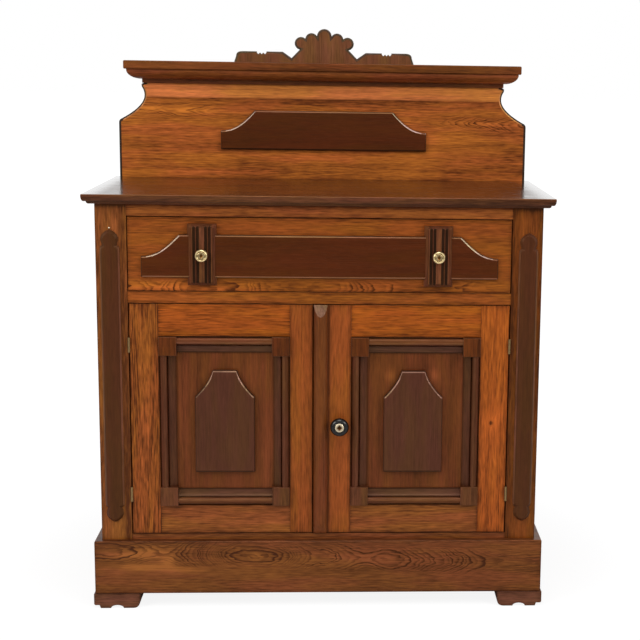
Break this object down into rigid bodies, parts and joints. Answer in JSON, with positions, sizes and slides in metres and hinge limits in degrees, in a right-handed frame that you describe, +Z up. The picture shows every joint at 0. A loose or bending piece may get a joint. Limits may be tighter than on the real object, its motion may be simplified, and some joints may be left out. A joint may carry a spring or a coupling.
{
  "type": "dry sink cabinet",
  "caption": "Free-standing wooden washstand cabinet with a drawer over a two-door cupboard, a moulded top and a tall splash board with a carved crest.",
  "frame": {"origin": "on the floor, under the middle of the top, which sets the width and the depth", "axes": "+Z up, the doors and the drawer face -Y, +X to the right of a person facing them"},
  "size_m": [0.864, 0.42, 1.0955],
  "materials": {
    "chestnut": "glossy varnish",
    "walnut": "glossy varnish",
    "inside_wood": "unfinished",
    "knob_brass": "aged, polished on the raised parts",
    "hinge_brass": "aged, polished on the raised parts",
    "latch_brass": "brass with a black japanned rim"
  },
  "bodies": {
    "cabinet": {"countertop": "walnut", "splash_board": "chestnut", "splash_plaque": "walnut", "crown_moulding": "walnut", "crown_shelf": "walnut", "crest": "walnut", "top_rail": "chestnut", "middle_rail": "chestnut", "bottom_rail": "chestnut", "cupboard_floor": "inside_wood", "back_panel": "inside_wood", "plinth": "chestnut", "front_post_left": "chestnut", "post_strip_left": "walnut", "side_frame_left": "chestnut", "side_panel_left": "chestnut", "drawer_runner_left": "inside_wood", "foot_front_left": "walnut", "foot_rear_left": "walnut", "front_post_right": "chestnut", "post_strip_right": "walnut", "side_frame_right": "chestnut", "side_panel_right": "chestnut", "drawer_runner_right": "inside_wood", "foot_front_right": "walnut", "foot_rear_right": "walnut", "left_lower_hinge_fixed_leaf": "hinge_brass", "left_upper_hinge_fixed_leaf": "hinge_brass", "right_lower_hinge_fixed_leaf": "hinge_brass", "right_upper_hinge_fixed_leaf": "hinge_brass"},
    "drawer": {"drawer_front": "chestnut", "drawer_back": "inside_wood", "drawer_bottom": "inside_wood", "drawer_plaque": "walnut", "drawer_side_left": "inside_wood", "drawer_block_left": "walnut", "drawer_knob_left": "knob_brass", "drawer_side_right": "inside_wood", "drawer_block_right": "walnut", "drawer_knob_right": "knob_brass"},
    "latch": {"latch_knob": "latch_brass"},
    "left_door": {"left_door_hinge_stile": "chestnut", "left_door_meeting_stile": "chestnut", "left_door_top_rail": "chestnut", "left_door_bottom_rail": "chestnut", "left_door_panel": "chestnut", "left_door_moulding": "walnut", "left_door_shield": "walnut", "left_lower_hinge_door_leaf": "hinge_brass", "left_upper_hinge_door_leaf": "hinge_brass"},
    "right_door": {"right_door_hinge_stile": "chestnut", "right_door_meeting_stile": "chestnut", "right_door_top_rail": "chestnut", "right_door_bottom_rail": "chestnut", "right_door_panel": "chestnut", "right_door_moulding": "walnut", "right_door_shield": "walnut", "right_lower_hinge_door_leaf": "hinge_brass", "right_upper_hinge_door_leaf": "hinge_brass", "astragal": "walnut"}
  },
  "joints": [
    {"name": "drawer_slide", "type": "slide", "parent": "cabinet", "child": "drawer", "axis": [0, -1, 0], "range_m": [0, 0.28]},
    {"name": "left_door_hinge", "type": "hinge", "parent": "cabinet", "child": "left_door", "pos_m": [-0.354, -0.1865, 0.3645], "axis": [0, 0, -1], "range_deg": [0, 110]},
    {"name": "right_door_hinge", "type": "hinge", "parent": "cabinet", "child": "right_door", "pos_m": [0.354, -0.1865, 0.3645], "axis": [0, 0, 1], "range_deg": [0, 110]},
    {"name": "latch_turn", "type": "hinge", "parent": "right_door", "child": "latch", "pos_m": [0.036, -0.174, 0.355], "axis": [0, 1, 0], "range_deg": [0, 90]}
  ]
}
